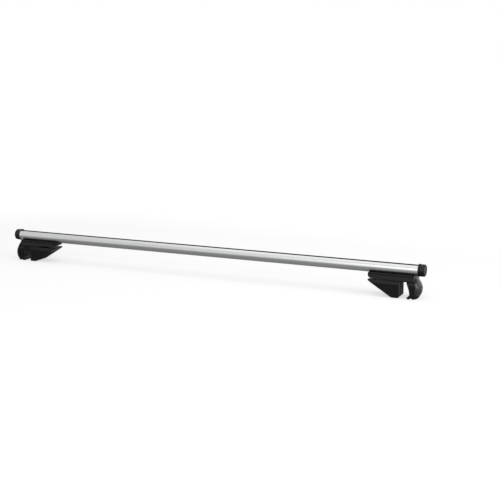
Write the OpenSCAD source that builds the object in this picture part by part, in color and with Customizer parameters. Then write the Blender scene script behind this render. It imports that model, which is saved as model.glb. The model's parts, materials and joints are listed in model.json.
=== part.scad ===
// Roof rack crossbar: an extruded round bar on two clamping feet for raised side rails.
// X runs along the bar, Z is up, and the floor under the feet is Z = 0.

/* [Bar] */
// Length of the aluminium bar without its end caps
bar_length = 1283; // [1150:1:1500]
// Outside diameter of the bar
bar_d = 32; // [31:0.5:33]
// Wall of the bar
bar_wall = 1.6; // [1.4:0.1:2]
// Height of the flat on top above the bar's axis
flat_rise = 13; // [12.6:0.1:13.4]
// Width of the accessory slot in the flat
slot_w = 9; // [8:0.5:10]
// Width of the accessory channel under the slot
channel_w = 16; // [14:0.5:17]
// Height of the accessory channel
channel_h = 6; // [5:0.5:7]
// Thickness of the lips over the accessory channel
lip_t = 2.2; // [1.8:0.1:2.6]
// Width of the bolt slot in the underside
bolt_slot_w = 6.6; // [6.4:0.1:7]
// Width of the bolt channel
bolt_channel_w = 11; // [10.8:0.1:11.6]
// Height of the bolt channel
bolt_channel_h = 4.4; // [4.2:0.1:5]
// Thickness of the lips under the bolt channel
bolt_lip_t = 2.4; // [2.2:0.1:2.8]

/* [Rubber strip] */
// Width of the strip's seat in the flat
strip_w = 15; // [13:0.5:16]
// Depth of the strip's seat in the flat
strip_t = 1.4; // [1:0.1:1.6]
// Height of the strip's crown above the flat
strip_crown = 0.4; // [0.2:0.1:0.8]

/* [End caps] */
// Diameter of the flange against the bar's end
cap_flange_d = 35; // [34:0.5:37]
// Thickness of the flange
cap_flange_t = 4.2; // [3:0.1:5]
// Width of the groove behind the flange
cap_groove_w = 1.5; // [1:0.1:2.5]
// Depth of the groove below the ring
cap_groove_depth = 1.4; // [0.8:0.1:2]
// Diameter of the domed ring
cap_ring_d = 33; // [32:0.5:35]
// How far the cap stands out of the bar
cap_reach = 18.5; // [16:0.5:22]
// Radius of the ring's outer edge
cap_edge_r = 3; // [2:0.5:4]
// Length of the two plugs inside the bar
cap_plug_length = 20; // [12:1:30]

/* [Foot] */
// Distance from the bar's end to the centre of the foot's round back
foot_inset = 26.5; // [26:0.5:60]
// Height of the bar's underside above the floor
foot_height = 60.5; // [56:0.5:66]
// How far the saddle reaches inboard of the hook's centre
saddle_in = 108.5; // [104:0.5:112]
// How far the saddle's top edge reaches outboard of the hook's centre
saddle_out = 16.2; // [15:0.1:19]
// Height that the saddle's rims climb up the bar
saddle_rim = 3.2; // [3:0.1:6]
// Width of the saddle across its rims
saddle_w = 39; // [37:0.5:42]
// Width of the saddle at its lower edge
skirt_w = 51; // [49:0.5:52]
// Radius of the saddle's rounded nose
nose_r = 8; // [6:0.5:9]
// Height of the saddle from the line where it meets the jaw up to the bar's underside
saddle_depth = 14.5; // [14:0.1:15]
// Height of the saddle's thin front part under the bar
nose_depth = 10.7; // [10.4:0.1:11.4]
// Distance from the hook's centre to the ramp under the saddle
ramp_start = 47; // [44:1:50]
// Length of the ramp up to the thin front part
ramp_length = 17; // [14:1:20]
// Width of the hook
hook_w = 52; // [50:0.5:53]
// Radius of the hook's curved inner face
hook_face_r = 80; // [78:1:84]
// Lean of the shoulders at the top of hook and jaw
shoulder_lean = 4; // [2:0.5:5]
// Height of the shoulders
shoulder_h = 9; // [7:0.5:11]
// Depth of the panels sunk into the sides of hook and jaw
panel_depth = 1.2; // [0.6:0.1:2]

/* [Jaw] */
// Length of the jaw from its tip to its clamping face
jaw_length = 87.5; // [82:0.5:88]
// Width of the jaw
jaw_w = 55; // [52:0.5:57]
// Opening between the jaw's pad and the top of the hook's inner face
throat_w = 20; // [20:0.5:23]
// Height of the jaw's underside above the floor
jaw_lift = 0.6; // [0.4:0.1:2]
// Length of the jaw's flat underside
jaw_sole = 19; // [12:1:20]
// Radius of the jaw's corners beside its clamping face
jaw_corner_r = 3; // [2:0.5:3]
// Thickness of the walls and ribs of the jaw's cored underside
rib_t = 2.6; // [2:0.1:4]
// Thickness of the jaw between its cores and its sides
jaw_wall = 4.2; // [4:0.1:6]
// Thickness of the rubber pads on jaw and hook
pad_t = 2; // [1.5:0.1:2.5]
// Height that the pads stand out of their seats
pad_proud = 0.4; // [0.2:0.1:0.8]

/* [Jaw guide] */
// Width of the guide slot in the saddle
guide_w = 16; // [14:0.5:18]
// Width of the guide channel above the slot
guide_channel_w = 24; // [22:0.5:26]
// Height of the lips beside the guide slot
guide_lip = 2.8; // [2.4:0.1:3.2]
// Height of the guide channel
guide_channel_h = 6.8; // [6.6:0.1:7.2]
// Length of the guide channel
guide_length = 67; // [64:1:68]
// Length of the jaw's T-shaped tenon
tenon_length = 28; // [26:1:30]
// Play between sliding faces
slide_gap = 0.3; // [0.2:0.05:0.4]

/* [Clamp screw] */
// Diameter of the clamp screw
screw_d = 6; // [5.8:0.1:6.2]
// Length of the clamp screw under its head
screw_length = 55; // [54:1:58]
// Distance from the bar's underside down to the clamp screw
screw_drop = 11.5; // [11.3:0.1:11.5]
// Diameter of the socket head
head_d = 10; // [9.6:0.1:10.2]
// Height of the socket head
head_h = 6; // [5:0.5:7]
// Size of the hexagon socket across its flats
socket_af = 5; // [4:0.5:5]
// Thickness of the wall that carries the screw
bulkhead_t = 4; // [3:0.5:5]
// Thickness of the washer under the head
washer_t = 1; // [0.6:0.1:1.4]
// Width across the flats of the square nut
nut_af = 10; // [9:0.5:10]
// Thickness of the square nut
nut_t = 5; // [4:0.5:6]

/* [Saddle bolts] */
// Diameter of the T-bolts that hold the saddle to the bar
bolt_d = 6; // [5.8:0.1:6.2]
// Distance between the two T-bolts
bolt_pitch = 17; // [16:0.5:18]
// Distance from the saddle's nose to the first T-bolt
bolt_inset = 13; // [12:0.5:14]
// Thickness of the saddle under the bar at the bolts
bolt_web = 4.5; // [4:0.1:5]
// Width across the flats of the flange nuts
flange_nut_af = 10; // [9:0.5:10]
// Height of the flange nuts
flange_nut_h = 5.5; // [5:0.1:5.6]

/* [Cover] */
// Radius of the cover's round back at its crown
cover_r = 36.5; // [36:0.1:37]
// Radius of the crown across the cover's width
crown_r = 60; // [55:1:80]
// Radius of the cover's side edges
edge_r = 8; // [7:0.5:9]
// Width of the cover
cover_w = 54; // [53:0.5:56]
// Distance from the bar's underside down to the centre of the round back
cover_drop = 36; // [35.8:0.1:36.4]
// Wall of the cover
cover_wall = 2.6; // [2.2:0.1:3]
// Distance from the hook's centre to the seam between hook and cover
seam_x = 23; // [22.6:0.1:23.4]
// Width of the seam
seam_gap = 0.6; // [0.5:0.1:0.8]

/* [Hinge] */
// Diameter of the hinge pin
pin_d = 3; // [2.6:0.1:3.2]
// Radius of the hinge knuckles
knuckle_r = 2.8; // [2.6:0.1:2.9]
// Depth of the pin's axis behind the cover's surface
pin_depth = 4.2; // [4:0.1:4.4]
// Height of the pin and of the cover's lower edge above the floor
pin_z = 8; // [7.8:0.1:8.2]
// Length of the cover's knuckle
knuckle_length = 11; // [9:0.5:12]
// Length of each lug beside the knuckle
lug_length = 6; // [5:0.5:7]

/* [Lock] */
// Height of the lock above the centre of the round back
lock_rise = 1.5; // [1:0.1:2]
// Outside diameter of the lock's housing
lock_d = 15; // [14:0.5:16]
// Diameter of the turning plug
plug_d = 12; // [11:0.5:12.5]
// Diameter of the bezel on the cover
bezel_d = 18; // [17:0.5:20]
// Length of the cam from end to end
cam_length = 23; // [21:0.5:24]
// Width of the cam
cam_w = 7; // [6:0.5:8]
// Thickness of the cam
cam_t = 2.5; // [2:0.1:2.8]
// Thickness of the lips that the cam hooks behind
keeper_t = 2.7; // [2.4:0.1:3]

/* [Hidden] */
$fn = 64;

// Clearances: fit is between fixed pieces, turn between a shaft and its hole, play between loose ones
fit = 0.1;
turn = 0.05;
play = 0.4;
big = 200;

// Bar section, measured from the bar's axis
bar_r = bar_d / 2;
bar_end = bar_length / 2;
channel_top = flat_rise - strip_t - lip_t;
channel_low = channel_top - channel_h;
bolt_channel_low = bolt_lip_t - bar_r;
bolt_channel_top = bolt_channel_low + bolt_channel_h;

// Places of the foot
foot_x = bar_end - foot_inset;
axis_z = foot_height + bar_r;
parting_z = foot_height - saddle_depth;
nose_z = foot_height - nose_depth;
screw_z = foot_height - screw_drop;
shoulder_z = parting_z - shoulder_h;
cover_z = foot_height - cover_drop;
lock_z = cover_z + lock_rise;
pin_x = sqrt(cover_r ^ 2 - (cover_z - pin_z) ^ 2) - pin_depth;
rim_z = foot_height + saddle_rim;
skirt_top = foot_height - 3;
skirt_low = nose_z - 1;
jaw_top = parting_z - play;
guide_floor = parting_z + guide_lip;
guide_roof = guide_floor + guide_channel_h;

// Hook: its inner face is an arc that starts under the parting line and ends at the toe
face_top = parting_z - 3.5;
face_centre_z = 4.7;
face_centre = [-sqrt(hook_face_r ^ 2 - (face_top - face_centre_z) ^ 2), face_centre_z];
face_low = 11.5;
toe_x = 1.5;
toe_r = 2.6;
notch_x = 13.6;
notch_half = 5.3;
notch_h = 2.8;

// Jaw, measured from the hook's centre
tip_x = -throat_w - jaw_length;
face_x = -throat_w - pad_proud;
tenon_x = face_x - 1.6;

// Clamp screw, measured from the hook's centre
bulkhead_x = -1;
seat_x = bulkhead_x + bulkhead_t;
under_head_x = seat_x + washer_t;
jaw_nut_x = -35;
clip_d = 8;
clip_t = 1.1;
clip_groove_d = screw_d - 1;
head_gap = 0.3;

// Cover and lock
trough_r = pin_depth + seam_gap;
lock_face_x = cover_r - 1.7;
bezel_t = 1.8;
boss_d = lock_d + 5;
cam_x = seam_x - keeper_t - play - cam_t - 0.2;
tail_w = 5;
mouth_w = lock_d + 1.4;
pocket_w = cam_length + 2;
pocket_x = cam_x - 3;
pocket_low = lock_z - pocket_w / 2;
pocket_high = lock_z + pocket_w / 2 + 1.8;

// Colours
aluminium = [0.78, 0.79, 0.80];
black_plastic = [0.13, 0.13, 0.14];
satin_plastic = [0.20, 0.20, 0.21];
rubber = [0.07, 0.07, 0.07];
steel = [0.62, 0.63, 0.65];
chrome = [0.75, 0.76, 0.78];

// Points on an arc about c, from angle a0 to a1
function arc(c, r, a0, a1, n = 8) =
    [for (i = [0:n]) let (a = a0 + (a1 - a0) * i / n) c + r * [cos(a), sin(a)]];

// Points with their mirror image in Y added, for a section that is the same on both sides
function both_sides(points) =
    concat(points, [for (i = [len(points) - 1:-1:0]) [-points[i].x, points[i].y]]);

// The hook's inner face or its copy a distance d behind it, from height z0 up to z1
function hook_face(d, z0, z1) =
    let (r = hook_face_r + d)
    arc(face_centre, r, asin((z0 - face_centre.y) / r), asin((z1 - face_centre.y) / r), 10);

// A profile drawn in X and Z, given the width w across Y
module across(w) {
    rotate([90, 0, 0])
        linear_extrude(w, center = true)
            children();
}

// A profile drawn in Y and Z, drawn out along X from x0 to x1
module along(x0, x1) {
    translate([x0, 0, 0])
        rotate([90, 0, 90])
            linear_extrude(x1 - x0)
                children();
}

// A block given by its two ends along X and Z and its width across Y
module block(x0, x1, w, z0, z1) {
    translate([x0, -w / 2, z0])
        cube([x1 - x0, w, z1 - z0]);
}

// A round rod along X from x0 to x1 at height z
module rod_x(d, x0, x1, z) {
    translate([x0, 0, z])
        rotate([0, 90, 0])
            cylinder(d = d, h = x1 - x0);
}

// A round rod along Y of length w at x and z
module rod_y(d, w, x, z) {
    translate([x, 0, z])
        rotate([90, 0, 0])
            cylinder(d = d, h = w, center = true);
}

// A hexagon measured across its flats
module hexagon(af) {
    circle(d = af / cos(30), $fn = 6);
}

module right() {
    translate([foot_x, 0, 0])
        children();
}

module left() {
    mirror([1, 0, 0])
        right()
            children();
}

// The bar and its ends

// One of the bar's two side chambers, drawn in Y and Z about the bar's axis
module bar_chamber(side, inset = 0) {
    wall = bar_wall + inset;
    web = bar_wall / 2 + inset;
    difference() {
        intersection() {
            circle(r = bar_r - wall);
            translate([side > 0 ? web : -bar_d - web, -bar_d])
                square([bar_d, bar_d + flat_rise - wall]);
        }
        translate([-channel_w / 2 - wall, channel_low - wall])
            square([channel_w + 2 * wall, bar_d]);
        translate([-bolt_channel_w / 2 - wall, bolt_channel_top + wall - bar_d])
            square([bolt_channel_w + 2 * wall, bar_d]);
    }
}

module bar_section() {
    difference() {
        circle(r = bar_r);
        translate([-bar_d, flat_rise])
            square([2 * bar_d, bar_d]);
        for (side = [-1, 1])
            bar_chamber(side);
        translate([-strip_w / 2, flat_rise - strip_t])
            square([strip_w, bar_d]);
        translate([-slot_w / 2, channel_low])
            square([slot_w, bar_d]);
        translate([-channel_w / 2, channel_low])
            square([channel_w, channel_h]);
        translate([-bolt_slot_w / 2, -bar_d])
            square([bolt_slot_w, bar_d + bolt_channel_top]);
        translate([-bolt_channel_w / 2, bolt_channel_low])
            square([bolt_channel_w, bolt_channel_h]);
    }
}

module bar_extrusion() {
    color(aluminium)
        translate([0, 0, axis_z])
            along(-bar_end, bar_end)
                bar_section();
}

// Crowned head over a stem whose barb snaps in behind the lips
module strip_section() {
    head_w = strip_w - 2 * fit;
    stem_w = slot_w - 2 * fit;
    barb_w = slot_w + 2.4;
    barb_top = channel_top - fit;
    crown = (head_w ^ 2 / 4 + strip_crown ^ 2) / (2 * strip_crown);
    intersection() {
        translate([0, flat_rise + strip_crown - crown])
            circle(r = crown, $fn = 200);
        translate([-head_w / 2, flat_rise - strip_t])
            square([head_w, 2 * strip_t]);
    }
    polygon(both_sides([
        [stem_w / 2 - 1, barb_top - 2.2], [barb_w / 2, barb_top], [stem_w / 2, barb_top],
        [stem_w / 2, flat_rise - strip_t / 2]
    ]));
}

module rubber_strip() {
    color(rubber)
        translate([0, 0, axis_z])
            along(-bar_end, bar_end)
                strip_section();
}

// Flange, groove and domed ring with a dished face, as radius over distance from the bar's end
module cap_profile() {
    flange_r = cap_flange_d / 2;
    ring_r = cap_ring_d / 2;
    ring_start = cap_flange_t + cap_groove_w;
    round_r = 0.8;
    dish = 0.9;
    dish_r = ring_r - cap_edge_r - 1.2;
    polygon(concat(
        [[0, 0]],
        arc([flange_r - round_r, round_r], round_r, -90, 0, 4),
        arc([flange_r - round_r, cap_flange_t - round_r], round_r, 0, 90, 4),
        [[ring_r - cap_groove_depth, cap_flange_t], [ring_r - cap_groove_depth, ring_start]],
        arc([ring_r - round_r, ring_start + round_r], round_r, -90, 0, 4),
        arc([ring_r - cap_edge_r, cap_reach - cap_edge_r], cap_edge_r, 0, 90, 8),
        [[dish_r, cap_reach], [dish_r - dish, cap_reach - dish], [0, cap_reach - dish]]
    ));
}

module end_cap() {
    translate([bar_end, 0, axis_z]) {
        rotate([0, 90, 0])
            rotate_extrude()
                cap_profile();
        for (side = [-1, 1])
            along(-cap_plug_length, 1)
                bar_chamber(side, fit);
    }
}

module right_end_cap() {
    color(black_plastic)
        end_cap();
}

module left_end_cap() {
    color(black_plastic)
        mirror([1, 0, 0])
            end_cap();
}

// The foot, drawn about the hook's centre

module saddle_section() {
    rim_r = 2;
    half = saddle_w / 2;
    polygon(both_sides(concat(
        [[skirt_w / 2, parting_z], [skirt_w / 2, skirt_low], [half, skirt_top]],
        arc([half - rim_r, rim_z - rim_r], rim_r, 0, 90, 5)
    )));
}

// Side view of the saddle: rounded nose, thin front part, ramp, parting line and leaning end
module saddle_outline() {
    top_r = 3;
    polygon(concat(
        arc([top_r - saddle_in, rim_z - top_r], top_r, 90, 180, 5),
        arc([nose_r - saddle_in, nose_z + nose_r], nose_r, 180, 270),
        [[-ramp_start - ramp_length, nose_z], [-ramp_start, parting_z]],
        [[seam_x, parting_z], [saddle_out, rim_z]]
    ));
}

// Section of hook or jaw: bevelled at its foot z0 and leaning inwards at the shoulders
function shouldered(w, z0) = both_sides([
    [w / 2 - 1.5, z0], [w / 2, z0 + 1.5], [w / 2, shoulder_z],
    [w / 2 - shoulder_lean, parting_z], [w / 2 - shoulder_lean, parting_z + 1]
]);

// Side view of the hook: curved inner face, toe, notch and flat heel
module hook_outline() {
    toe = [toe_x + toe_r, toe_r];
    notch_r = (notch_half ^ 2 + notch_h ^ 2) / (2 * notch_h);
    notch_a = asin((notch_r - notch_h) / notch_r);
    polygon(concat(
        [[seam_x, parting_z + 1], [0, parting_z + 1], [0, face_top + 0.5]],
        [for (i = [10:-1:0]) hook_face(0, face_low, face_top)[i]],
        arc(toe, toe_r, 135, 270),
        arc([notch_x, notch_h - notch_r], notch_r, 180 - notch_a, notch_a),
        [[seam_x, 0]]
    ));
}

// Round back of the foot, as radius over width, with its surface lowered by inset
module back_profile(inset = 0) {
    crown_x = cover_r - crown_r;
    edge_y = cover_w / 2 - edge_r;
    edge_x = crown_x + sqrt((crown_r - edge_r) ^ 2 - edge_y ^ 2);
    tangent_y = edge_y * crown_r / (crown_r - edge_r);
    intersection() {
        union() {
            intersection() {
                translate([crown_x, 0])
                    circle(r = crown_r - inset, $fn = 200);
                translate([0, -tangent_y])
                    square([big, 2 * tangent_y]);
            }
            for (side = [-1, 1])
                translate([edge_x, side * edge_y])
                    circle(r = edge_r - inset);
            translate([0, inset - cover_w / 2])
                square([edge_x, cover_w - 2 * inset]);
        }
        translate([0, -cover_w])
            square([cover_r, 2 * cover_w]);
    }
}

module round_back(inset = 0) {
    translate([0, 0, cover_z])
        rotate([90, 0, 0])
            rotate_extrude($fn = 128)
                back_profile(inset);
}

// What lies outboard of the seam, moved outboard by d, above height z
module outboard_of_seam(d, z) {
    across(big)
        polygon([
            [seam_x + d, z], [seam_x + d, parting_z], [saddle_out + d, rim_z],
            [big, rim_z], [big, z]
        ]);
}

module hook_panel() {
    inset = 4;
    top = shoulder_z - 1.8;
    low = face_low - 1.5;
    polygon(concat(
        hook_face(inset, low, top),
        [[seam_x - 2, top], [seam_x - 2, low]]
    ));
}

module foot_base() {
    bolt_x = bolt_inset - saddle_in;
    difference() {
        union() {
            intersection() {
                across(big)
                    saddle_outline();
                along(-big, big)
                    saddle_section();
            }
            intersection() {
                union() {
                    intersection() {
                        across(big)
                            hook_outline();
                        along(-big, big)
                            polygon(shouldered(hook_w, 0));
                    }
                    heel();
                    for (side = [-1, 1])
                        translate([0, side * (knuckle_length / 2 + slide_gap + lug_length / 2), 0])
                            lug();
                }
                round_back();
            }
        }
        rod_x(bar_d + 2 * fit, -big, big, axis_z);
        block(-guide_length - 1, bulkhead_x, guide_w, parting_z - 1, guide_roof - 1);
        block(-guide_length - 1, bulkhead_x, guide_channel_w, guide_floor, guide_roof);
        rod_x(screw_d + 2 * fit, -10, 10, screw_z);
        rod_x(head_d + 2 * head_gap, seat_x, 2 * seam_x, screw_z);
        for (i = [0, 1])
            translate([bolt_x + i * bolt_pitch, 0, 0])
                bolt_pocket();
        for (side = [-1, 1])
            translate([0, side * hook_w / 2, 0])
                across(2 * panel_depth)
                    hook_panel();
        across(hook_w - 8)
            polygon(concat(
                hook_face(pad_t - pad_proud, face_low + 3, face_top - 3),
                [for (i = [10:-1:0]) hook_face(-1, face_low + 3, face_top - 3)[i]]
            ));
        lock_pocket();
        rod_y(pin_d + 2 * turn, 3 * knuckle_length, pin_x, pin_z);
    }
    bolt_slot_key();
}

// Lower end of the round back, hollowed where the cover's edge swings down
module heel() {
    difference() {
        block(seam_x - 1, cover_r, cover_w + 2, -1, pin_z - seam_gap);
        rod_y(2 * trough_r, big, pin_x, pin_z);
        block(pin_x, big, big, pin_z - trough_r, big);
        block(0, big, big, -big, 0);
    }
}

module lug() {
    rod_y(2 * knuckle_r, lug_length, pin_x, pin_z);
    block(seam_x - 1, pin_x, lug_length, 1, pin_z + knuckle_r);
}

// Key that stands up into the bar's bolt slot and stops the foot from turning about the bar
module bolt_slot_key() {
    block(-guide_length, saddle_out - 4, bolt_slot_w - 2 * fit, foot_height - 1, foot_height + 1.8);
}

module bolt_pocket() {
    cylinder(d = flange_nut_af + 4.5, h = foot_height - bolt_web);
    cylinder(d = bolt_d + 4 * fit, h = foot_height + 2);
}

// Slot for the cam, with a wider pocket behind its lips
module lock_pocket() {
    block(pocket_x, seam_x + 1, mouth_w, pocket_low, pocket_high);
    block(pocket_x, seam_x - keeper_t, pocket_w, pocket_low, pocket_high);
}

module tee_bolt() {
    head_h = bolt_channel_h - 0.6;
    head_z = axis_z + bolt_channel_low;
    head_w = bolt_channel_w - 2 * fit;
    translate([-head_w / 2, -head_w / 2, head_z])
        cube([head_w, head_w, head_h]);
    translate([0, 0, nose_z + play])
        cylinder(d = bolt_d, h = head_z - nose_z - play + 0.1);
}

module tee_bolts() {
    color(steel)
        for (i = [0, 1])
            translate([bolt_inset - saddle_in + i * bolt_pitch, 0, 0])
                tee_bolt();
}

module flange_nut() {
    flange_t = 1.2;
    top = foot_height - bolt_web;
    difference() {
        union() {
            translate([0, 0, top - flange_t])
                cylinder(d = flange_nut_af + 2.6, h = flange_t);
            translate([0, 0, top - flange_nut_h])
                linear_extrude(flange_nut_h)
                    hexagon(flange_nut_af);
        }
        translate([0, 0, top - 2 * flange_nut_h])
            cylinder(d = bolt_d + 2 * turn, h = 3 * flange_nut_h);
    }
}

module flange_nuts() {
    color(steel)
        for (i = [0, 1])
            translate([bolt_inset - saddle_in + i * bolt_pitch, 0, 0])
                flange_nut();
}

module hook_pad() {
    color(rubber)
        across(hook_w - 8 - 2 * fit)
            polygon(concat(
                hook_face(pad_t - pad_proud - fit, face_low + 3 + fit, face_top - 3 - fit),
                [for (i = [10:-1:0]) hook_face(-pad_proud, face_low + 3 + fit, face_top - 3 - fit)[i]]
            ));
}

// The jaw and what it carries

// Side view of the jaw: blunt tip, straight rising underside, flat sole and upright face
module jaw_outline() {
    bevel = 1.5;
    sole_x = face_x - jaw_sole;
    polygon([
        [tip_x + bevel, jaw_top], [tip_x, jaw_top - bevel], [tip_x, jaw_top - 2 * bevel],
        [sole_x - 2, jaw_lift + 1], [sole_x + 1, jaw_lift],
        [face_x - 2, jaw_lift], [face_x, jaw_lift + 2],
        [face_x, jaw_top - bevel], [face_x - bevel, jaw_top]
    ]);
}

// Triangular panel that follows the jaw's rising underside
module jaw_panel() {
    top = shoulder_z - 1.8;
    low = 9;
    end = face_x - 11.5;
    slope = (jaw_top - 4 - jaw_lift) / (jaw_length - jaw_sole - 2);
    start = tip_x + 9.5 / slope;
    polygon([
        [start, top], [end - 2, top], [end, top - 2], [end, low],
        [start + (top - low) / slope, low]
    ]);
}

// Plan of the jaw with its corners rounded beside the clamping face
module jaw_plan() {
    linear_extrude(big) {
        translate([-big, -jaw_w / 2])
            square([big + face_x - jaw_corner_r, jaw_w]);
        translate([-big, jaw_corner_r - jaw_w / 2])
            square([big + face_x, jaw_w - 2 * jaw_corner_r]);
        for (side = [-1, 1])
            translate([face_x - jaw_corner_r, side * (jaw_w / 2 - jaw_corner_r)])
                circle(r = jaw_corner_r);
    }
}

// Two rows of cores that hollow the jaw from below, with ribs between them
module jaw_cores() {
    rows = 4;
    start = tip_x + 20;
    end = face_x - pad_t - jaw_wall;
    pitch = (end - start + rib_t) / rows;
    roof = shoulder_z - 3;
    for (i = [0:rows - 1])
        for (side = [-1, 1])
            translate([0, side * (jaw_w / 2 - jaw_wall + rib_t / 2) / 2, 0])
                block(start + i * pitch, start + (i + 1) * pitch - rib_t,
                      jaw_w / 2 - jaw_wall - rib_t / 2, 0, roof);
}

module jaw() {
    color(satin_plastic)
        difference() {
            union() {
                intersection() {
                    across(big)
                        jaw_outline();
                    along(-big, 0)
                        polygon(shouldered(jaw_w, jaw_lift));
                    jaw_plan();
                }
                block(tenon_x - tenon_length, tenon_x, guide_w - 2 * slide_gap,
                      jaw_top - 1, guide_floor + slide_gap + 1);
                block(tenon_x - tenon_length, tenon_x, guide_channel_w - 2 * slide_gap,
                      guide_floor + slide_gap, guide_roof - slide_gap);
            }
            for (side = [-1, 1])
                translate([0, side * jaw_w / 2, 0])
                    across(2 * panel_depth)
                        jaw_panel();
            jaw_cores();
            rod_x(screw_d + 6 * fit, -big, 0, screw_z);
            block(jaw_nut_x - nut_t / 2 - fit, jaw_nut_x + nut_t / 2 + fit, nut_af + 2 * fit,
                  screw_z - nut_af / 2 - fit, big);
            block(face_x - pad_t + pad_proud, 0, jaw_w - 7, 5, jaw_top - 4);
        }
}

module jaw_pad() {
    color(rubber)
        block(face_x - pad_t + pad_proud, face_x + pad_proud, jaw_w - 7 - 2 * fit,
              5 + fit, jaw_top - 4 - fit);
}

module jaw_nut() {
    color(steel)
        difference() {
            block(jaw_nut_x - nut_t / 2, jaw_nut_x + nut_t / 2, nut_af,
                  screw_z - nut_af / 2, screw_z + nut_af / 2);
            rod_x(screw_d + 2 * turn, -big, 0, screw_z);
        }
}

// Screw, washer and clip

module clamp_screw() {
    chamfer = 0.8;
    groove_x = bulkhead_x - 0.2 - clip_t - fit;
    color(steel)
        difference() {
            translate([under_head_x - screw_length, 0, screw_z])
                rotate([0, 90, 0])
                    rotate_extrude()
                        polygon([
                            [0, 0], [screw_d / 2 - chamfer, 0], [screw_d / 2, chamfer],
                            [screw_d / 2, screw_length], [head_d / 2, screw_length],
                            [head_d / 2, screw_length + head_h - 0.6],
                            [head_d / 2 - 0.6, screw_length + head_h], [0, screw_length + head_h]
                        ]);
            translate([under_head_x + head_h / 2, 0, screw_z])
                rotate([90, 0, 90])
                    linear_extrude(head_h)
                        hexagon(socket_af);
            difference() {
                rod_x(screw_d + 1, groove_x, groove_x + clip_t + 2 * fit, screw_z);
                rod_x(clip_groove_d, groove_x - 1, groove_x + clip_t + 1, screw_z);
            }
        }
}

module screw_washer() {
    color(steel)
        difference() {
            rod_x(head_d, seat_x, under_head_x, screw_z);
            rod_x(screw_d + 2 * fit, seat_x - 1, under_head_x + 1, screw_z);
        }
}

module screw_clip() {
    start = bulkhead_x - 0.2 - clip_t;
    color(steel)
        difference() {
            rod_x(clip_d, start, start + clip_t, screw_z);
            rod_x(clip_groove_d + 2 * turn, start - 1, start + clip_t + 1, screw_z);
        }
}

// Cover, hinge pin and lock

module cover() {
    color(satin_plastic)
        difference() {
            union() {
                intersection() {
                    difference() {
                        round_back();
                        round_back(cover_wall);
                    }
                    outboard_of_seam(seam_gap, pin_z);
                }
                rod_y(2 * knuckle_r, knuckle_length, pin_x, pin_z);
                intersection() {
                    block(pin_x, big, knuckle_length, pin_z, pin_z + 4);
                    round_back(1);
                }
                intersection() {
                    rod_x(boss_d, seam_x + 1.2, cover_r, lock_z);
                    round_back(1);
                }
            }
            rod_y(pin_d + 2 * turn, big, pin_x, pin_z);
            for (side = [-1, 1])
                translate([0, side * (knuckle_length / 2 + slide_gap + lug_length / 2), 0])
                    rod_y(2 * knuckle_r + 2 * play, lug_length + 2 * slide_gap, pin_x, pin_z);
            rod_x(lock_d + 2 * fit, 0, big, lock_z);
            rod_x(bezel_d + 2 * fit, lock_face_x, big, lock_z);
        }
}

module hinge_pin() {
    color(steel)
        rod_y(pin_d, knuckle_length + 2 * slide_gap + 2 * lug_length, pin_x, pin_z);
}

module lock_housing() {
    color(satin_plastic)
        difference() {
            union() {
                rod_x(lock_d, seam_x - keeper_t, lock_face_x + 1, lock_z);
                rod_x(bezel_d, lock_face_x, lock_face_x + bezel_t, lock_z);
            }
            rod_x(plug_d + 2 * turn, 0, big, lock_z);
        }
}

module lock_plug() {
    face = lock_face_x + bezel_t - 0.3;
    tail = cam_x;
    color(chrome)
        difference() {
            union() {
                rod_x(plug_d, seam_x - keeper_t, face, lock_z);
                block(tail, seam_x, tail_w, lock_z - tail_w / 2, lock_z + tail_w / 2);
            }
            block(face - 5, big, 1.6, lock_z - 3.8, lock_z + 3.8);
            rod_x(3, tail - 1, tail + 5, lock_z);
        }
}

module lock_cam() {
    hole = tail_w + 2 * turn;
    color(steel)
        difference() {
            intersection() {
                block(cam_x, cam_x + cam_t, cam_w, 0, big);
                rod_x(cam_length, cam_x - 1, seam_x, lock_z);
            }
            block(0, big, hole, lock_z - hole / 2, lock_z + hole / 2);
        }
}

module cam_screw() {
    color(steel) {
        rod_x(3 - 2 * turn, cam_x - 0.1, cam_x + 4.5, lock_z);
        rod_x(6.6, cam_x - 1.6, cam_x, lock_z);
    }
}

bar_extrusion();
rubber_strip();
right_end_cap();
left_end_cap();

right() color(black_plastic) foot_base();  // right_foot_base
right() jaw();  // right_jaw
right() jaw_pad();  // right_jaw_pad
right() hook_pad();  // right_hook_pad
right() tee_bolts();  // right_tee_bolts
right() flange_nuts();  // right_flange_nuts
right() clamp_screw();  // right_clamp_screw
right() screw_washer();  // right_screw_washer
right() screw_clip();  // right_screw_clip
right() jaw_nut();  // right_jaw_nut
right() cover();  // right_cover
right() hinge_pin();  // right_hinge_pin
right() lock_housing();  // right_lock_housing
right() lock_plug();  // right_lock_plug
right() lock_cam();  // right_lock_cam
right() cam_screw();  // right_cam_screw

left() color(black_plastic) foot_base();  // left_foot_base
left() jaw();  // left_jaw
left() jaw_pad();  // left_jaw_pad
left() hook_pad();  // left_hook_pad
left() tee_bolts();  // left_tee_bolts
left() flange_nuts();  // left_flange_nuts
left() clamp_screw();  // left_clamp_screw
left() screw_washer();  // left_screw_washer
left() screw_clip();  // left_screw_clip
left() jaw_nut();  // left_jaw_nut
left() cover();  // left_cover
left() hinge_pin();  // left_hinge_pin
left() lock_housing();  // left_lock_housing
left() lock_plug();  // left_lock_plug
left() lock_cam();  // left_lock_cam
left() cam_screw();  // left_cam_screw
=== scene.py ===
import json
import math

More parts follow.
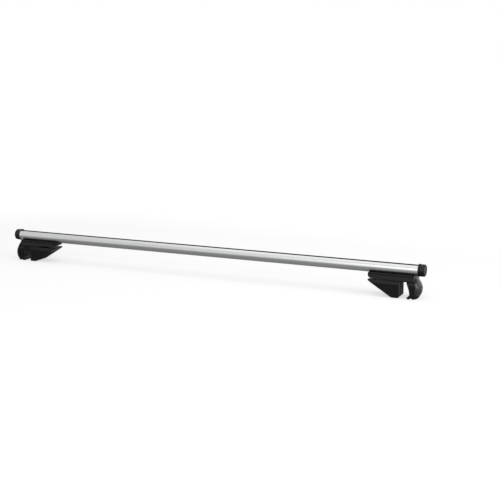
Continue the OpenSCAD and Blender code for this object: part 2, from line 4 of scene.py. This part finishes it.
import bmesh
import bpy
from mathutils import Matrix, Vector


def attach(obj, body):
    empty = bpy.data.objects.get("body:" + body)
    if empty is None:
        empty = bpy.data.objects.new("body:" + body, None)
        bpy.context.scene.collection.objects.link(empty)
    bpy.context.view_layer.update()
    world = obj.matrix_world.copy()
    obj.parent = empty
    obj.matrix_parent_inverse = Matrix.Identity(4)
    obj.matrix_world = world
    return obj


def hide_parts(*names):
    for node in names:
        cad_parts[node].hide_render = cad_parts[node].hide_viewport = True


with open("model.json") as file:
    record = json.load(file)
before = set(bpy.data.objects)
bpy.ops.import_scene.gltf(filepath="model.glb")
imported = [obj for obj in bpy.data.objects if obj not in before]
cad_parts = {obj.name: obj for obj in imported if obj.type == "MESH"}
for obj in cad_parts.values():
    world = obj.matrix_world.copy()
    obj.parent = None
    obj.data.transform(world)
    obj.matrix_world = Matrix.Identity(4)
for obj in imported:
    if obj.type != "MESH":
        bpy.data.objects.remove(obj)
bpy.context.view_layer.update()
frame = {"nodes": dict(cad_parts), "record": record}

MM = 0.001
TAU = 2 * math.pi
SIDES = {"right": 1, "left": -1}

# Places and sizes that part.scad fixes, in millimetres. A foot's own x starts at FOOT_X, at the
# top of the hook's inner face, and grows outwards.
FOOT_X = 615.0
BAR_END = 641.5
AXIS_Z = 76.5
FLAT_RISE = 13.0
SCREW_Z = 49.0
BOLT_X = (FOOT_X - 95.5, FOOT_X - 78.5)
HOOK_R = 80.0
HOOK_TOP = 42.5
HOOK_CENTRE_Z = 4.7
RING_LEVELS = (-2.3, -1.2)
RING_R = 2.55

# M6 thread
PITCH = 1.0
ROOT_R = 2.45
CREST_R = 2.98

# Looks. Noise scales are per metre, and lengths are in metres.
BROAD_CLOUD = 35
WEAR_PATCHES = 140
PLATE_CLOUD = 180
PLATE_GRAIN = 2500
BEVEL_SAMPLES = 6
MOST_WEAR = 0.5
WORN_IS_LIGHTER = 4
# Cosine between a true and a softened normal, where wear is full and where it ends
WEAR_FULL, WEAR_NONE = 0.90, 0.995

SHARP_ANGLE = math.radians(35)
WHITE = (1, 1, 1, 1)


# Materials

def feed(tree, socket, value):
    """Sets a socket to a number or colour, or links it to another node's output."""
    if hasattr(value, "is_output"):
        tree.links.new(value, socket)
    else:
        socket.default_value = value


def add_node(tree, kind, inputs, output, **settings):
    """Adds a node, feeds its inputs by name or number, and returns one output."""
    made = tree.nodes.new(kind)
    for key, value in settings.items():
        setattr(made, key, value)
    for key, value in inputs.items():
        feed(tree, made.inputs[key], value)
    return made.outputs[output]


def math_node(tree, operation, first, second=0.0, third=0.0):
    return add_node(tree, "ShaderNodeMath", {0: first, 1: second, 2: third}, 0,
                    operation=operation)


def map_range(tree, value, start, end, low, high):
    """Goes from low to high while the value goes from start to end."""
    return add_node(tree, "ShaderNodeMapRange",
                    {"Value": value, "From Min": start, "From Max": end,
                     "To Min": low, "To Max": high}, "Result")


class Shader:
    """A material with a Principled shader and short calls for its nodes."""

    def __init__(self, name):
        self.material = bpy.data.materials.new(name)
        self.material.use_nodes = True
        self.tree = self.material.node_tree
        self.bsdf = self.tree.nodes["Principled BSDF"]
        self.place = self.add("ShaderNodeTexCoord", {}, "Object")

    def add(self, kind, inputs, output, **settings):
        return add_node(self.tree, kind, inputs, output, **settings)

    def noise(self, across, detail=3.0, roughness=0.5, along=None):
        """Noise with one scale, or with another scale along X."""
        scale = (across if along is None else along, across, across)
        place = self.add("ShaderNodeMapping", {"Vector": self.place, "Scale": scale}, "Vector")
        return self.add("ShaderNodeTexNoise",
                        {"Vector": place, "Scale": 1.0, "Detail": detail, "Roughness": roughness},
                        "Fac")

    def spread(self, value, low, high, start=0.3, end=0.7):
        return map_range(self.tree, value, start, end, low, high)

    def ramp(self, value, stops):
        made = self.tree.nodes.new("ShaderNodeValToRGB")
        for element, (position, colour) in zip(made.color_ramp.elements, stops):
            element.position = position
            element.color = (*colour, 1.0)
        feed(self.tree, made.inputs["Fac"], value)
        return made.outputs["Color"]

    def bump(self, height, distance, strength, normal):
        return self.add("ShaderNodeBump",
                        {"Height": height, "Distance": distance, "Strength": strength,
                         "Normal": normal}, "Normal")

    def soft_edges(self, radius):
        return self.add("ShaderNodeBevel", {"Radius": radius}, "Normal", samples=BEVEL_SAMPLES)

    def edge_wear(self, soft_normal):
        """Grows from 0 on a flat face to MOST_WEAR on a rubbed edge, in patches."""
        true_normal = self.add("ShaderNodeNewGeometry", {}, "Normal")
        turn = self.add("ShaderNodeVectorMath", {0: soft_normal, 1: true_normal}, "Value",
                        operation="DOT_PRODUCT")
        edge = self.spread(turn, MOST_WEAR, 0.0, WEAR_FULL, WEAR_NONE)
        patches = self.spread(self.noise(WEAR_PATCHES), 0.2, 1.0, 0.4, 0.6)
        return math_node(self.tree, "MULTIPLY", edge, patches)

    def mixed(self, share, plain, rubbed):
        return self.add("ShaderNodeMix", {"Factor": share, "A": plain, "B": (*rubbed, 1.0)},
                        "Result", data_type="RGBA")

    def set(self, **values):
        for key, value in values.items():
            feed(self.tree, self.bsdf.inputs[key.replace("_", " ")], value)


def moulded(name, shades, rough, specular, grain, depth, edge):
    """Moulded plastic or rubber: a broad cloud of grey, fine grain and rounded, rubbed edges."""
    shader = Shader(name)
    dark, light = [(shade, shade, shade) for shade in shades]
    cloud = shader.noise(BROAD_CLOUD, 4)
    rounded = shader.soft_edges(edge)
    plain = shader.ramp(cloud, [(0.35, dark), (0.68, light)])
    rubbed = tuple(c * WORN_IS_LIGHTER for c in light)
    shader.set(
        Base_Color=shader.mixed(shader.edge_wear(rounded), plain, rubbed),
        Roughness=shader.spread(cloud, *rough),
        Normal=shader.bump(shader.noise(grain, 2), depth, 0.6, rounded),
        Specular_IOR_Level=specular,
    )
    return shader.material


def drawn_aluminium(name):
    """Satin anodised extrusion with the fine lengthwise lines that a die leaves."""
    shader = Shader(name)
    lines = shader.noise(620, 4, 0.6, along=0.9)
    hair = shader.noise(3600, 2, along=5)
    shader.set(
        Base_Color=shader.ramp(lines, [(0.30, (0.52, 0.525, 0.53)), (0.70, (0.58, 0.585, 0.59))]),
        Metallic=1.0,
        Roughness=shader.spread(lines, 0.25, 0.33),
        Normal=shader.bump(hair, 0.00003, 0.35, shader.soft_edges(0.0003)),
    )
    return shader.material


def plated(name, dark, light, rough, edge):
    """Zinc or chrome plate with a little cloud in its colour and gloss."""
    shader = Shader(name)
    cloud = shader.noise(PLATE_CLOUD, 5)
    grain = shader.noise(PLATE_GRAIN, 2)
    shader.set(
        Base_Color=shader.ramp(cloud, [(0.35, dark), (0.65, light)]),
        Metallic=1.0,
        Roughness=shader.spread(cloud, *rough),
        Normal=shader.bump(grain, 0.00002, 0.3, shader.soft_edges(edge)),
    )
    return shader.material


MATERIALS = {
    "bar_aluminium": drawn_aluminium("bar_aluminium"),
    "rubber": moulded("rubber", shades=(0.055, 0.080), rough=(0.62, 0.74), specular=0.4,
                      grain=1500, depth=0.00006, edge=0.0002),
    "strip_rubber": moulded("strip_rubber", shades=(0.008, 0.014), rough=(0.75, 0.85),
                            specular=0.1, grain=1500, depth=0.00006, edge=0.0002),
    "cap_plastic": moulded("cap_plastic", shades=(0.005, 0.008), rough=(0.34, 0.44),
                           specular=0.25, grain=1900, depth=0.00005, edge=0.0005),
    "foot_plastic": moulded("foot_plastic", shades=(0.002, 0.004), rough=(0.32, 0.42),
                            specular=0.20, grain=1500, depth=0.00006, edge=0.0008),
    "cover_plastic": moulded("cover_plastic", shades=(0.007, 0.011), rough=(0.28, 0.36),
                             specular=0.55, grain=2400, depth=0.00004, edge=0.0008),
    "zinc_steel": plated("zinc_steel", dark=(0.55, 0.56, 0.58), light=(0.66, 0.67, 0.68),
                         rough=(0.26, 0.40), edge=0.0002),
    "lock_metal": plated("lock_metal", dark=(0.50, 0.51, 0.53), light=(0.60, 0.61, 0.63),
                         rough=(0.20, 0.32), edge=0.0003),
}

for part in frame["record"]["subparts"]:
    cad = frame["nodes"][part["node"]]
    cad.data.materials.clear()
    cad.data.materials.append(MATERIALS[part["material_slot"]])


# Mesh code. A form is a pair of vertices, in millimetres, and faces.

def piece(name, form, body, slot, node, look=None):
    """Turns a form into a piece that rides on a body and stands for a CAD node."""
    verts, faces = form
    mesh = bpy.data.meshes.new(name)
    mesh.from_pydata([[c * MM for c in v] for v in verts], [], faces)
    work = bmesh.new()
    work.from_mesh(mesh)
    bmesh.ops.remove_doubles(work, verts=work.verts, dist=0.000001)
    bmesh.ops.recalc_face_normals(work, faces=work.faces)
    work.to_mesh(mesh)
    work.free()
    mesh.shade_smooth()
    mesh.set_sharp_from_angle(angle=SHARP_ANGLE)
    made = bpy.data.objects.new(name, mesh)
    bpy.context.scene.collection.objects.link(made)
    mesh.materials.append(MATERIALS[look or slot])
    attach(made, body)
    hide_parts(node)


def prism(outline, low, high, place):
    """A closed outline drawn out between two levels; place turns (u, v, level) into a point."""
    count = len(outline)
    verts = [place(u, v, level) for level in (low, high) for u, v in outline]
    faces = [(i, (i + 1) % count, count + (i + 1) % count, count + i) for i in range(count)]
    faces += [tuple(range(count)), tuple(range(2 * count - 1, count - 1, -1))]
    return verts, faces


def turned(rings, place, count=48, hollow=False):
    """A turned form. Each ring is (level, radius), where radius may depend on the angle."""
    verts = []
    for level, radius in rings:
        for i in range(count):
            angle = TAU * i / count
            r = radius(angle) if callable(radius) else radius
            verts.append(place(level, r * math.cos(angle), r * math.sin(angle)))
    rows = len(rings)
    faces = []
    for j in range(rows if hollow else rows - 1):
        k = (j + 1) % rows
        for i in range(count):
            n = (i + 1) % count
            faces.append((j * count + i, j * count + n, k * count + n, k * count + i))
    if not hollow:
        faces.append(tuple(range(count)))
        faces.append(tuple(range(rows * count - 1, (rows - 1) * count - 1, -1)))
    return verts, faces


def thread(start, end, place):
    """A right-handed thread's ridge, which rises out of the core at both ends."""
    steps = 20
    foot_half, crest_half, sunk = 0.44, 0.07, 0.15
    total = int((end - start) / PITCH * steps)
    verts = []
    for i in range(total + 1):
        angle = TAU * i / steps
        level = start + PITCH * i / steps
        rise = min(1.0, i / steps, (total - i) / steps)
        top, foot = ROOT_R + (CREST_R - ROOT_R) * rise, ROOT_R - sunk
        for offset, radius in ((-foot_half, foot), (-crest_half, top),
                               (crest_half, top), (foot_half, foot)):
            verts.append(place(level + offset * PITCH,
                               radius * math.cos(angle), radius * math.sin(angle)))
    faces = [(0, 1, 2, 3), tuple(4 * total + i for i in (3, 2, 1, 0))]
    for i in range(total):
        for j in range(4):
            n = (j + 1) % 4
            faces.append((4 * i + j, 4 * i + n, 4 * i + 4 + n, 4 * i + 4 + j))
    return verts, faces


def together(*forms):
    """Several forms as one."""
    verts, faces = [], []
    for form_verts, form_faces in forms:
        shift = len(verts)
        verts += form_verts
        faces += [tuple(shift + i for i in face) for face in form_faces]
    return verts, faces


def hexagon(across_flats):
    """The radius of a hexagon at an angle."""
    sixth = TAU / 6
    return lambda angle: across_flats / 2 / math.cos((angle + sixth / 2) % sixth - sixth / 2)


def square(half):
    """The radius of a square at an angle."""
    return lambda angle: half / max(abs(math.cos(angle)), abs(math.sin(angle)))


def ribbed(low, high, top, pitch, depth):
    """Points along a face with flat-topped ribs, as (place along it, height)."""
    groove_half, floor_half = 0.22, 0.10
    count = round((high - low) / pitch)
    step = (high - low) / count
    points = [(low, top)]
    for i in range(1, count):
        middle = low + i * step
        for offset, drop in ((-groove_half, 0), (-floor_half, depth),
                             (floor_half, depth), (groove_half, 0)):
            points.append((middle + offset * step, top - drop))
    return points + [(high, top)]


# Rubber strip

def strip_outline():
    """Crowned head with five fine grooves, over a stem with a barb. Heights are over the axis."""
    half, plain_edge, crown = 7.4, 1.0, 0.4
    head_low = FLAT_RISE - 1.4
    stem_half, barb_half, barb_top = 4.4, 5.7, 9.3
    tip_half, tip = 3.4, 7.1
    top = ribbed(-half + plain_edge, half - plain_edge, FLAT_RISE, 2.1, 0.35)
    top = [(y, z + crown * (1 - (y / half) ** 2)) for y, z in top]
    right = [(half, FLAT_RISE), (half, head_low), (stem_half, head_low), (stem_half, barb_top),
             (barb_half, barb_top), (tip_half, tip)]
    left = [(-y, z) for y, z in reversed(right)]
    return left[-1:] + top + right + left[:-1]


piece("ribbed_strip",
      prism(strip_outline(), -BAR_END, BAR_END, lambda y, z, x: (x, y, AXIS_Z + z)),
      "frame", "rubber", "rubber_strip", "strip_rubber")


# Feet. k is 1 on the right side and -1 on the left.

def along_screw(k):
    """Places a form along the clamp screw; both sides keep a right-handed thread."""
    return lambda x, y, z: (k * (FOOT_X + x), k * y, SCREW_Z + z)


def upright(k, x):
    """Places a form that stands at x; both sides keep a right-handed thread."""
    return lambda z, u, v: (k * (x + u), k * v, z)


def beside(k, x, y, z):
    """A point of one side's foot, mirrored on the other side."""
    return (k * (FOOT_X + x), y, z)


def hook_arc(distance, z):
    """X of the hook's inner face, or of its copy a distance behind it, at height z."""
    centre = -math.sqrt(HOOK_R ** 2 - (HOOK_TOP - HOOK_CENTRE_Z) ** 2)
    return centre + math.sqrt((HOOK_R + distance) ** 2 - (z - HOOK_CENTRE_Z) ** 2)


def clamp_screw(place):
    """Socket head with a knurled rim, plain neck with the ring's groove, and thread."""
    tip, thread_end, neck, under = -51.0, -6.5, -6.0, 4.0
    groove_low, groove_high, groove_r = -2.4, -1.1, 2.5
    head_r, knurl_depth, knurl_steps = 4.98, 0.16, 120
    socket = hexagon(5.0)

    def knurl(angle):
        return head_r - knurl_depth * (round(angle / TAU * knurl_steps) % 2)

    shank = [(tip, 2.0), (tip + 0.6, ROOT_R), (thread_end, ROOT_R), (neck, CREST_R),
             (groove_low, CREST_R), (groove_low, groove_r),
             (groove_high, groove_r), (groove_high, CREST_R), (under, CREST_R)]
    head = [(under, 4.7), (under + 0.3, head_r), (under + 0.6, knurl), (under + 4.9, knurl),
            (under + 5.3, head_r), (under + 6.0, 4.5), (under + 6.0, 3.1),
            (under + 5.7, socket), (under + 3.0, socket), (under + 2.2, 0.6)]
    return together(turned(shank + head, place, knurl_steps),
                    thread(tip + 0.4, thread_end + 0.1, place))


def snap_ring(k):
    """Open snap ring, wider away from its gap, seen along the screw."""
    gap = math.radians(24)
    steps = 40
    narrow, swell = 0.75, 0.7
    place = along_screw(k)
    outer, inner = [], []
    for i in range(steps + 1):
        angle = gap + (TAU - 2 * gap) * i / steps
        outer_r = RING_R + narrow + swell * (0.5 - 0.5 * math.cos(angle))
        outer.append((outer_r * math.cos(angle), outer_r * math.sin(angle)))
        inner.append((RING_R * math.cos(angle), RING_R * math.sin(angle)))
    return prism(outer + inner[::-1], *RING_LEVELS, lambda u, v, x: place(x, u, v))


def tee_bolt(place):
    """Square head of a T-bolt and its threaded shank, standing on the nut side."""
    half, edge = 10.8 / 2, 0.4
    head_low, head_high = 62.9, 66.7
    tip, tip_end = 50.2, 50.8
    head = [(head_low, square(half - edge)), (head_low + edge, square(half)),
            (head_high - edge, square(half)), (head_high, square(half - edge))]
    shank = [(tip, 2.1), (tip_end, ROOT_R), (head_low + 0.5, ROOT_R)]
    return together(turned(head, place, 64), turned(shank, place),
                    thread(50.5, head_low - 0.2, place))


def flange_nut(place):
    """Nut with a coned flange and a hexagon whose corners are chamfered, facing down."""
    top, height, flats = 56.0, 5.5, 10.0
    low = top - height
    bore_r, flange_r, cone_r = 3.06, 6.3, 5.9
    chamfer_slope = 0.9
    corners = hexagon(flats)
    count = 96
    rings = [(top, bore_r), (top, flange_r), (top - 0.5, flange_r), (top - 1.3, cone_r),
             (top - 1.5, corners), (low, corners), (low, flats / 2 - 0.1),
             (low, 3.5), (low + 0.45, bore_r)]
    chamfered = 5
    verts, faces = turned(rings, place, count, hollow=True)
    for i in range(count):
        x, y, _ = verts[chamfered * count + i]
        rise = (corners(TAU * i / count) - flats / 2) * chamfer_slope
        verts[chamfered * count + i] = (x, y, low + rise)
    return verts, faces


def jaw_pad(k):
    """Pad with upright ribs on the face that presses on the rail."""
    half, face, back, low, high = 23.9, -20.0, -22.0, 5.1, 41.5
    front = [(x, y) for y, x in ribbed(-half, half, face, 2.4, 0.7)]
    return prism(front + [(back, half), (back, -half)], low, high,
                 lambda x, y, z: beside(k, x, y, z))


def hook_pad(k):
    """Curved pad with ribs across the face that lies on the rail."""
    half, low, high = 21.9, 14.6, 39.4
    proud, sunk, steps = 0.4, 1.5, 12
    face = [(hook_arc(-proud - height, z), z) for z, height in ribbed(low, high, 0.0, 2.2, 0.8)]
    levels = [low + (high - low) * i / steps for i in range(steps, -1, -1)]
    back = [(hook_arc(sunk, z), z) for z in levels]
    return prism(face + back, -half, half, lambda x, z, y: beside(k, x, y, z))


for side, k in SIDES.items():
    piece(side + "_threaded_screw", clamp_screw(along_screw(k)),
          side + "_screw_body", "zinc_steel", side + "_clamp_screw")
    piece(side + "_snap_ring", snap_ring(k),
          side + "_screw_body", "zinc_steel", side + "_screw_clip")
    stands = [upright(k, x) for x in BOLT_X]
    piece(side + "_threaded_tee_bolts", together(*map(tee_bolt, stands)),
          "frame", "zinc_steel", side + "_tee_bolts")
    piece(side + "_chamfered_nuts", together(*map(flange_nut, stands)),
          "frame", "zinc_steel", side + "_flange_nuts")
    piece(side + "_ribbed_jaw_pad", jaw_pad(k),
          side + "_jaw_body", "rubber", side + "_jaw_pad")
    piece(side + "_ribbed_hook_pad", hook_pad(k),
          "frame", "rubber", side + "_hook_pad")


# Stage, in metres

FLOOR_REACH = 30.0
FLOOR_DROP = 0.0002
FLOOR_COLOUR = 0.50
FLOOR_LIFT_NEAR, FLOOR_LIFT_FAR = 0.61, 0.95
WORLD_LEVEL = 0.40
# Half of the length from whose line the floor's distance to the bar is taken
BAR_LINE_HALF = 0.6
# Distances from the bar at which the floor's own white starts and stops growing, and at which
# reflections start and stop taking it in
LIFT_START, LIFT_STOP = 0.6, 2.6
MIRROR_START, MIRROR_STOP = 0.2, 0.7

# Name: place, aim, size and radiance
LAMPS = {
    "overhead": ((0.1, -0.5, 2.6), (0.1, -0.1, 0.0), (3.4, 2.6), 0.6),
    "front": ((0.9, -4.4, 1.7), (0.0, 0.0, 0.1), (4.4, 3.0), 1.5),
    "right": ((3.6, -0.6, 1.1), (0.3, 0.0, 0.05), (2.0, 1.8), 4.6),
}

CAMERA_PLACE = (1.29395, -2.55083, 0.64897)
CAMERA_TILT = math.radians(78.71)
CAMERA_TURN = math.radians(24.16)
CAMERA_LENS = 72.0
CAMERA_SENSOR = 36.0


def seen_directly(tree, glossy):
    """1 for camera and transmission rays, the given share for glossy ones, 0 for the rest."""
    path = tree.nodes.new("ShaderNodeLightPath").outputs
    clear = math_node(tree, "MAXIMUM", path["Is Camera Ray"], path["Is Transmission Ray"])
    return math_node(tree, "MULTIPLY_ADD", path["Is Glossy Ray"], glossy, clear)


def distance_from_bar(tree):
    """Distance on the floor from the line below the bar."""
    place = add_node(tree, "ShaderNodeTexCoord", {}, "Object")
    split = tree.nodes.new("ShaderNodeSeparateXYZ")
    feed(tree, split.inputs[0], place)
    x, y = split.outputs["X"], split.outputs["Y"]
    past_end = math_node(tree, "SUBTRACT", math_node(tree, "ABSOLUTE", x), BAR_LINE_HALF)
    past_end = math_node(tree, "MAXIMUM", past_end, 0.0)
    squared = math_node(tree, "MULTIPLY_ADD", past_end, past_end,
                        math_node(tree, "MULTIPLY", y, y))
    return math_node(tree, "SQRT", squared)


def make_floor():
    """Pale floor. The lamps fade with distance, so its own white grows there and no horizon
    shows. Metal sees that white far off, and close by the floor as it is lit."""
    mesh = bpy.data.meshes.new("floor")
    corners = [(-1, -1), (1, -1), (1, 1), (-1, 1)]
    mesh.from_pydata([(x * FLOOR_REACH, y * FLOOR_REACH, 0) for x, y in corners],
                     [], [(0, 1, 2, 3)])
    floor = bpy.data.objects.new("floor", mesh)
    bpy.context.scene.collection.objects.link(floor)
    floor.location.z = -FLOOR_DROP
    look = bpy.data.materials.new("floor")
    look.use_nodes = True
    tree = look.node_tree
    distance = distance_from_bar(tree)
    lift = map_range(tree, distance, LIFT_START, LIFT_STOP, FLOOR_LIFT_NEAR, FLOOR_LIFT_FAR)
    mirrored = map_range(tree, distance, MIRROR_START, MIRROR_STOP, 0.0, 1.0)
    settings = {
        "Base Color": (FLOOR_COLOUR, FLOOR_COLOUR, FLOOR_COLOUR, 1),
        "Roughness": 0.9,
        "Specular IOR Level": 0.1,
        "Emission Color": WHITE,
        "Emission Strength": math_node(tree, "MULTIPLY", lift, seen_directly(tree, mirrored)),
    }
    for name, value in settings.items():
        feed(tree, tree.nodes["Principled BSDF"].inputs[name], value)
    mesh.materials.append(look)


def make_world():
    """White to the camera, to reflections and through glass, and dimmer as a light."""
    world = bpy.data.worlds.new("studio")
    world.use_nodes = True
    tree = world.node_tree
    background = tree.nodes["Background"]
    strength = math_node(tree, "MULTIPLY_ADD", seen_directly(tree, 1.0),
                         1 - WORLD_LEVEL, WORLD_LEVEL)
    feed(tree, background.inputs["Color"], WHITE)
    feed(tree, background.inputs["Strength"], strength)
    bpy.context.scene.world = world


def area_light(name, place, aim, size, radiance):
    """A soft box whose face shines with a radiance."""
    data = bpy.data.lights.new(name, "AREA")
    data.shape = "RECTANGLE"
    data.size, data.size_y = size
    data.energy = radiance * math.pi * size[0] * size[1]
    lamp = bpy.data.objects.new(name, data)
    lamp.location = place
    lamp.rotation_euler = (Vector(aim) - Vector(place)).to_track_quat("-Z", "Y").to_euler()
    bpy.context.scene.collection.objects.link(lamp)


def make_camera():
    data = bpy.data.cameras.new("camera")
    data.lens = CAMERA_LENS
    data.sensor_width = CAMERA_SENSOR
    data.clip_end = 100.0
    camera = bpy.data.objects.new("camera", data)
    camera.location = CAMERA_PLACE
    camera.rotation_euler = (CAMERA_TILT, 0.0, CAMERA_TURN)
    bpy.context.scene.collection.objects.link(camera)
    bpy.context.scene.camera = camera


make_floor()
make_world()
for name, settings in LAMPS.items():
    area_light(name, *settings)
make_camera()
bpy.context.scene.view_settings.view_transform = "Standard"
